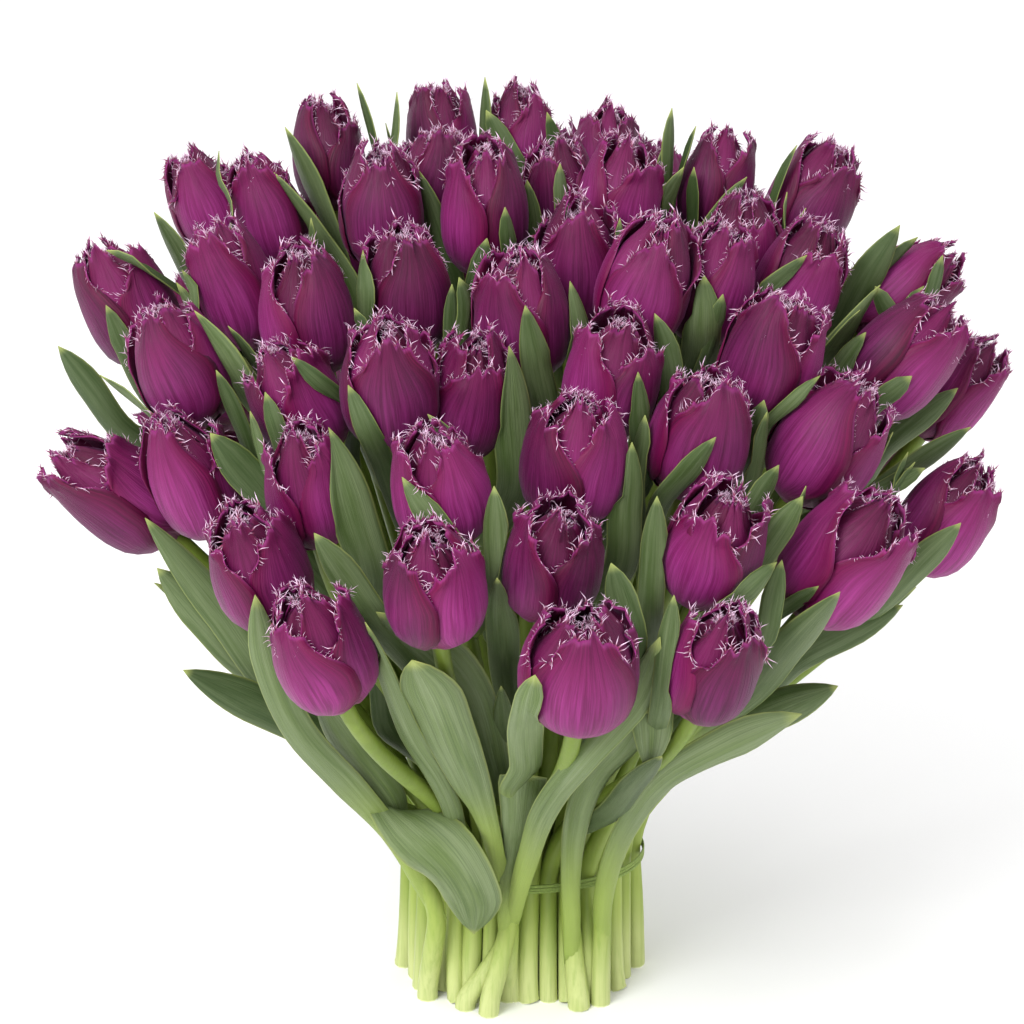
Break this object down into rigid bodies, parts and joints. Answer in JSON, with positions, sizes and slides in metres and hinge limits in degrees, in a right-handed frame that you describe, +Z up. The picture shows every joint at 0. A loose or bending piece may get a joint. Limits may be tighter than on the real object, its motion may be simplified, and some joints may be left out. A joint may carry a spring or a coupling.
{
  "type": "fringed tulip bouquet",
  "caption": "Standing tied bouquet of closed purple fringed tulips on a round dome, with lance-shaped leaves and level cut stems.",
  "frame": {"origin": "on the standing plane, at the middle of the middle stem's cut end", "axes": "+Z up along the middle stem, -Y towards the bouquet's front, +X to the right as the front is seen"},
  "size_m": [0.3917, 0.36, 0.3732],
  "materials": {
    "petals": "satin magenta-purple petals, lilac where the light grazes them, with a pale lilac fringe",
    "greens": "matte grey-green leaves and paler yellow-green stems",
    "band": "thin pale green tie"
  },
  "bodies": {
    "root": {"band": "band", "bloom_01": "petals", "bloom_02": "petals", "bloom_03": "petals", "bloom_04": "petals", "bloom_05": "petals", "bloom_06": "petals", "bloom_07_11": "petals", "bloom_08": "petals", "bloom_09": "petals", "bloom_10": "petals", "bloom_12_13": "petals", "bloom_14": "petals", "bloom_15_22": "petals", "bloom_16": "petals", "bloom_17_25": "petals", "bloom_18_19": "petals", "bloom_20": "petals", "bloom_21": "petals", "bloom_23": "petals", "bloom_24": "petals", "bloom_26": "petals", "bloom_27": "petals", "bloom_28": "petals", "bloom_29": "petals", "bloom_30_31": "petals", "bloom_32": "petals", "bloom_33_34": "petals", "bloom_35": "petals", "bloom_36": "petals", "bloom_37_38": "petals", "bloom_39": "petals", "bloom_40": "petals", "bloom_41_42": "petals", "bloom_43": "petals", "bloom_44": "petals", "bloom_45": "petals", "bloom_46": "petals", "bloom_47": "petals", "bloom_48": "petals", "bloom_49_50": "petals", "bloom_51_52": "petals", "bloom_53_54": "petals", "bloom_55_56": "petals", "bloom_57_58": "petals", "bloom_59_60": "petals", "bloom_61_62": "petals", "bloom_63_64": "petals", "bloom_65_66": "petals", "bloom_67_68_69": "petals", "bloom_70_71": "petals", "bloom_72_73": "petals", "bloom_74_75": "petals", "leafy_stems_row_1": "greens", "leafy_stems_row_2": "greens", "leafy_stems_row_3": "greens", "leafy_stems_row_4": "greens", "leafy_stems_row_5": "greens", "leafy_stems_row_6": "greens", "leafy_stems_row_7": "greens"}
  },
  "joints": []
}
